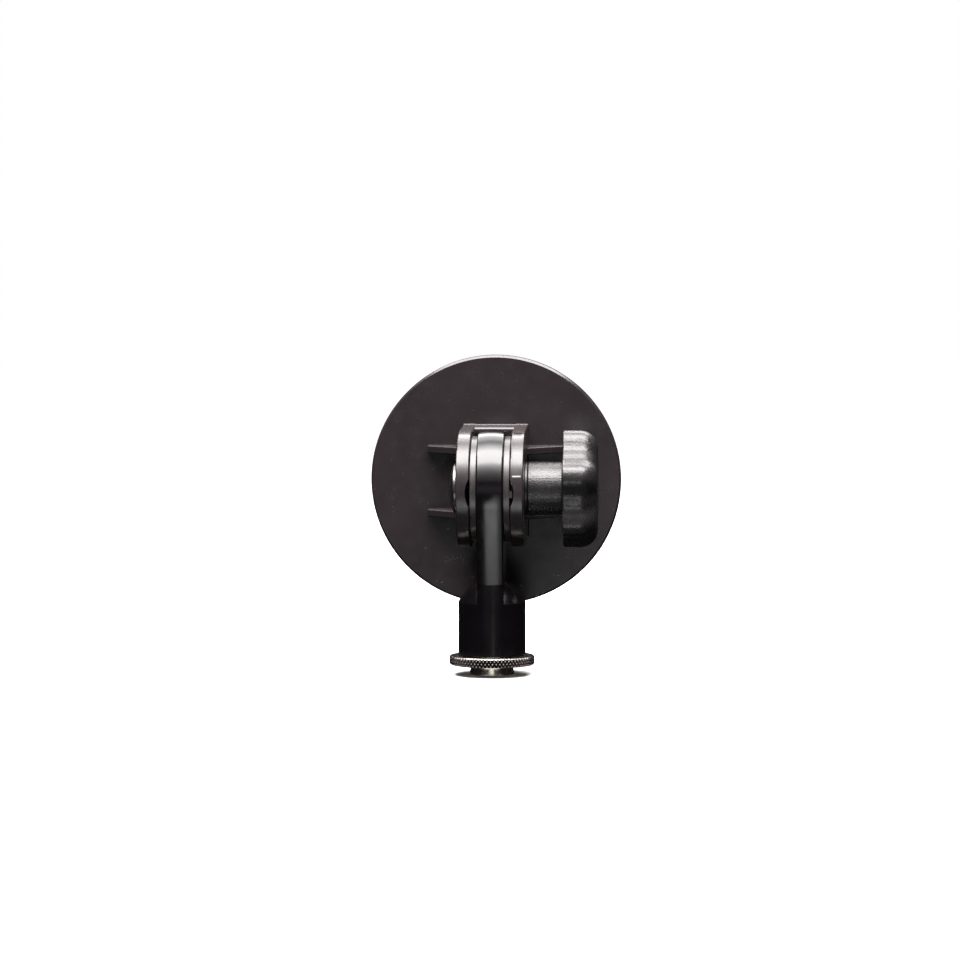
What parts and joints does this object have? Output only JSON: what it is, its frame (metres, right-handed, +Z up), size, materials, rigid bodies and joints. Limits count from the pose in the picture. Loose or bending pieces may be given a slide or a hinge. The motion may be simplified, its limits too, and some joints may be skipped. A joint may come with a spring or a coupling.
{
  "type": "adhesive tablet mount",
  "caption": "Stick-on tablet mount with a round foam-backed plate, a knob-clamped tilting arm and a knurled thread adapter for the top of a stand.",
  "frame": {"origin": "centre of the stand thread's mouth, on the lower face of the thread adapter", "axes": "+Z up along the arm, from the stand to the tilt axis; +X along the tilt axis, towards the clamp knob; +Y towards the adhesive face"},
  "size_m": [0.086, 0.0531, 0.1068],
  "materials": {
    "moulded_black": "satin moulded, fine grain",
    "arm_black": "semi-gloss moulded",
    "knob_black": "pebble texture",
    "washer_steel": "brushed, slightly dull",
    "bolt_steel": "black-zinc plated, polished head",
    "nickel": "nickel plate",
    "brass": "turned",
    "foam": "closed-cell foam with a tacky face"
  },
  "bodies": {
    "adapter": {"thread_adapter": "nickel"},
    "arm": {"tilt_arm": "arm_black", "thread_insert": "brass"},
    "plate": {"mounting_plate": "moulded_black", "adhesive_pad": "foam", "friction_washer_left": "washer_steel", "friction_washer_right": "washer_steel", "clamp_bolt": "bolt_steel"},
    "knob_washer": {"knob_washer": "bolt_steel"},
    "knob": {"knob": "knob_black", "knob_insert": "brass"}
  },
  "joints": [
    {"name": "pan", "type": "hinge", "parent": "adapter", "child": "arm", "pos_m": [0, 0, 0.0065], "axis": [0, 0, 1], "range_deg": [0, 360]},
    {"name": "tilt", "type": "hinge", "parent": "arm", "child": "plate", "pos_m": [0, 0, 0.062], "axis": [1, 0, 0], "range_deg": [-19.5, 180]},
    {"name": "knob_advance", "type": "slide", "parent": "plate", "child": "knob_washer", "axis": [1, 0, 0], "range_m": [0, 0.003]},
    {"name": "knob_turn", "type": "hinge", "parent": "knob_washer", "child": "knob", "pos_m": [0.024, 0, 0.062], "axis": [1, 0, 0], "range_deg": [0, 1080]}
  ],
  "couplings": [
    {"joint": "knob_turn", "follows": "knob_advance", "rad_per_m": 6283.2}
  ]
}
